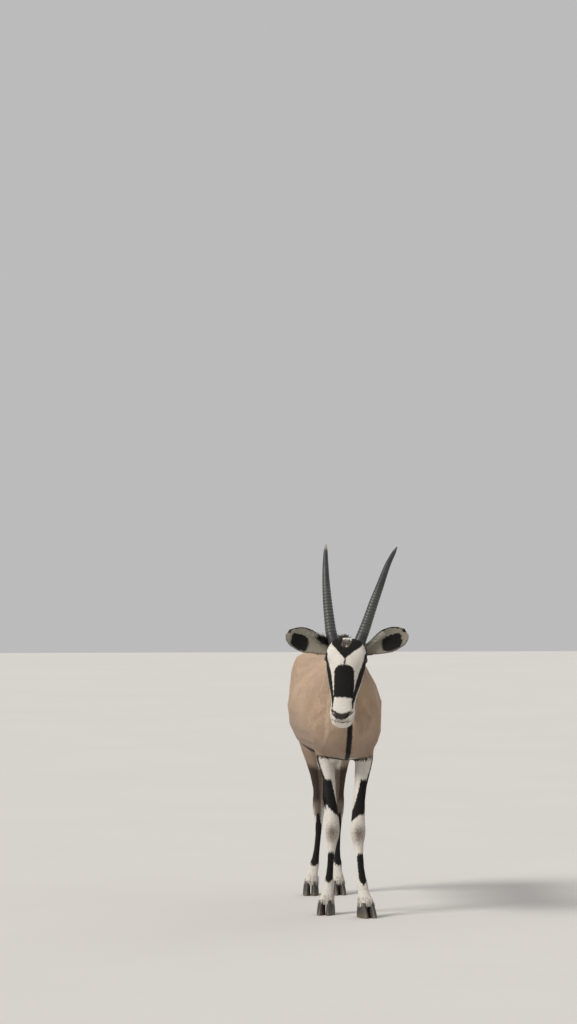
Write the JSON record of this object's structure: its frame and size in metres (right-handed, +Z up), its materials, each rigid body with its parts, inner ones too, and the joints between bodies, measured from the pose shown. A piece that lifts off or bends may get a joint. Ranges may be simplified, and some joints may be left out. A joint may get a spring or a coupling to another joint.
{
  "type": "gemsbok model",
  "caption": "Life-size still gemsbok standing square and looking ahead, with ringed straight horns, masked face and tufted tail.",
  "frame": {"origin": "middle of the bounding box's footprint, on the floor between the four feet", "axes": "+Z up, the animal's chest points along -Y, +X is its left side"},
  "size_m": [0.5436, 1.5748, 1.6563],
  "materials": {
    "coat_tan": "short dull fur",
    "coat_pale": "short dull off-white fur with black markings",
    "coat_black": "short dull black fur",
    "coat_brown": "short dull dark brown fur",
    "tail_hair": "long coarse black hair",
    "horn": "ringed dark horn with a paler tip",
    "hoof": "dull dark hoof",
    "eye": "wet dark brown eye"
  },
  "bodies": {
    "root": {"torso": "coat_tan", "neck": "coat_tan", "head": "coat_pale", "horn_right": "horn", "horn_left": "horn", "ear_right": "coat_tan", "ear_left": "coat_tan", "foreleg_right_upper": "coat_black", "foreleg_right_lower": "coat_pale", "foreleg_left_upper": "coat_black", "foreleg_left_lower": "coat_pale", "hindleg_right_upper": "coat_brown", "hindleg_right_lower": "coat_pale", "hindleg_left_upper": "coat_brown", "hindleg_left_lower": "coat_pale", "tail_dock": "coat_brown", "tail_tuft": "tail_hair", "eye_right": "eye", "eye_left": "eye", "hoof_front_right_outer": "hoof", "hoof_front_right_inner": "hoof", "hoof_front_left_outer": "hoof", "hoof_front_left_inner": "hoof", "hoof_hind_right_outer": "hoof", "hoof_hind_right_inner": "hoof", "hoof_hind_left_outer": "hoof", "hoof_hind_left_inner": "hoof"}
  },
  "joints": []
}
